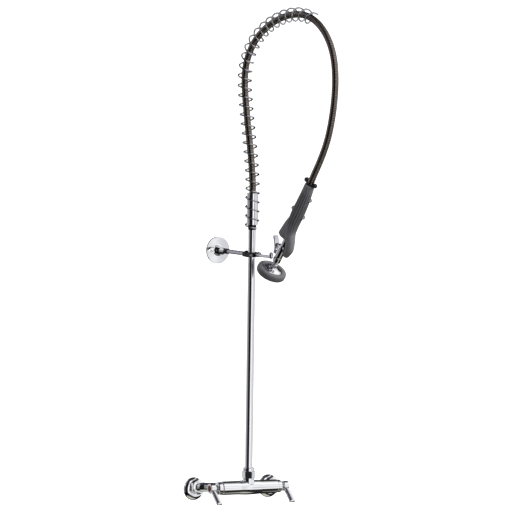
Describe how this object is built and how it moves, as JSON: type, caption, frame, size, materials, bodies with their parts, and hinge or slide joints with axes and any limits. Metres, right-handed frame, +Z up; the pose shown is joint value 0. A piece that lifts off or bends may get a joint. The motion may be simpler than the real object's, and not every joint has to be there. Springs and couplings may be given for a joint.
{
  "type": "pre rinse faucet",
  "caption": "Wall-mounted kitchen rinse faucet: two-handle mixer, tall riser with wall bracket, spring-carried hose and squeeze sprayer.",
  "frame": {"origin": "midpoint of the two wall inlets, on the plane of the wall behind them", "axes": "+X along the wall to the right, +Y into the wall, +Z up along the riser"},
  "size_m": [0.2568, 0.4258, 1.1603],
  "materials": {
    "chrome_brass": "polished chrome plate on brass",
    "chrome_steel": "bright chromed steel wire and rod",
    "satin_rod": "drawn stainless rod",
    "dark_nickel": "dark nickel plate",
    "raw_brass": "machined brass",
    "stainless_steel": "stainless steel",
    "hose_armour": "interlocked stainless armour",
    "alumina": "lapped alumina",
    "black_rubber": "moulded rubber",
    "bumper_rubber": "moulded dark grey rubber",
    "grip_plastic": "moulded mid grey plastic",
    "black_plastic": "moulded black plastic",
    "face_plastic": "moulded grey plastic",
    "red_plastic": "gloss red, hot side",
    "blue_plastic": "gloss blue, cold side"
  },
  "bodies": {
    "root": {"bonnet_left": "chrome_brass", "bonnet_right": "chrome_brass", "bracket_flange": "chrome_brass", "bracket_rod": "satin_rod", "bracket_set_screw": "stainless_steel", "bumper_ring": "bumper_rubber", "cartridge_left": "raw_brass", "cartridge_right": "raw_brass", "clamp_screws": "stainless_steel", "coupling_nut_left": "chrome_brass", "coupling_nut_right": "chrome_brass", "coupling_washers": "black_rubber", "eccentric_coupling_left": "chrome_brass", "eccentric_coupling_right": "chrome_brass", "face_screw": "stainless_steel", "finger_hook": "chrome_steel", "fixed_discs": "alumina", "grip": "grip_plastic", "grip_end_cap": "black_plastic", "hose": "hose_armour", "hose_connector": "raw_brass", "hose_tail_fitting": "raw_brass", "hose_washer": "black_rubber", "inlet_flange_left": "chrome_brass", "inlet_flange_right": "chrome_brass", "mixer_body": "chrome_brass", "overhead_spring": "chrome_steel", "packing_nut": "chrome_brass", "packing_seal": "black_rubber", "plunger_spring": "stainless_steel", "riser_clamp_front": "dark_nickel", "riser_clamp_rear": "dark_nickel", "riser_ferrule": "raw_brass", "riser_head_nut": "dark_nickel", "riser_nut": "chrome_brass", "riser_pipe": "chrome_brass", "riser_washer": "black_rubber", "rod_collar": "dark_nickel", "rod_nut": "dark_nickel", "seat_seals": "black_rubber", "sleeve_set_screw": "stainless_steel", "spray_cup": "chrome_brass", "spray_face": "face_plastic", "spray_neck": "chrome_brass", "spring_sleeve": "chrome_brass", "valve_shell": "chrome_brass", "water_tube": "raw_brass"},
    "handle_left": {"handle_left": "chrome_brass", "handle_screw_left": "stainless_steel", "index_button_left": "red_plastic", "stem_left": "chrome_brass", "moving_disc_left": "alumina"},
    "handle_right": {"handle_right": "chrome_brass", "handle_screw_right": "stainless_steel", "index_button_right": "blue_plastic", "stem_right": "chrome_brass", "moving_disc_right": "alumina"},
    "spray_lever": {"spray_lever": "chrome_steel", "lever_pin": "stainless_steel"},
    "plunger": {"plunger": "stainless_steel"}
  },
  "joints": [
    {"name": "handle_left_turn", "type": "hinge", "parent": "root", "child": "handle_left", "pos_m": [-0.099, -0.079, 0.00635], "axis": [-1, 0, 0], "range_deg": [0, 90]},
    {"name": "handle_right_turn", "type": "hinge", "parent": "root", "child": "handle_right", "pos_m": [0.099, -0.079, 0.00635], "axis": [-1, 0, 0], "range_deg": [0, 90]},
    {"name": "lever_squeeze", "type": "hinge", "parent": "root", "child": "spray_lever", "pos_m": [0.01712, -0.15953, 0.55981], "axis": [0.9781, 0.2079, 0], "range_deg": [0, 10], "stiffness_Nm_per_rad": 0.77, "springref_deg": -11.46},
    {"name": "plunger_push", "type": "slide", "parent": "root", "child": "plunger", "axis": [0.175, -0.8231, -0.5402], "range_m": [0, 0.0036], "deforming": ["plunger_spring"]}
  ],
  "couplings": [
    {"joint": "plunger_push", "follows": "lever_squeeze", "m_per_rad": 0.0204}
  ]
}
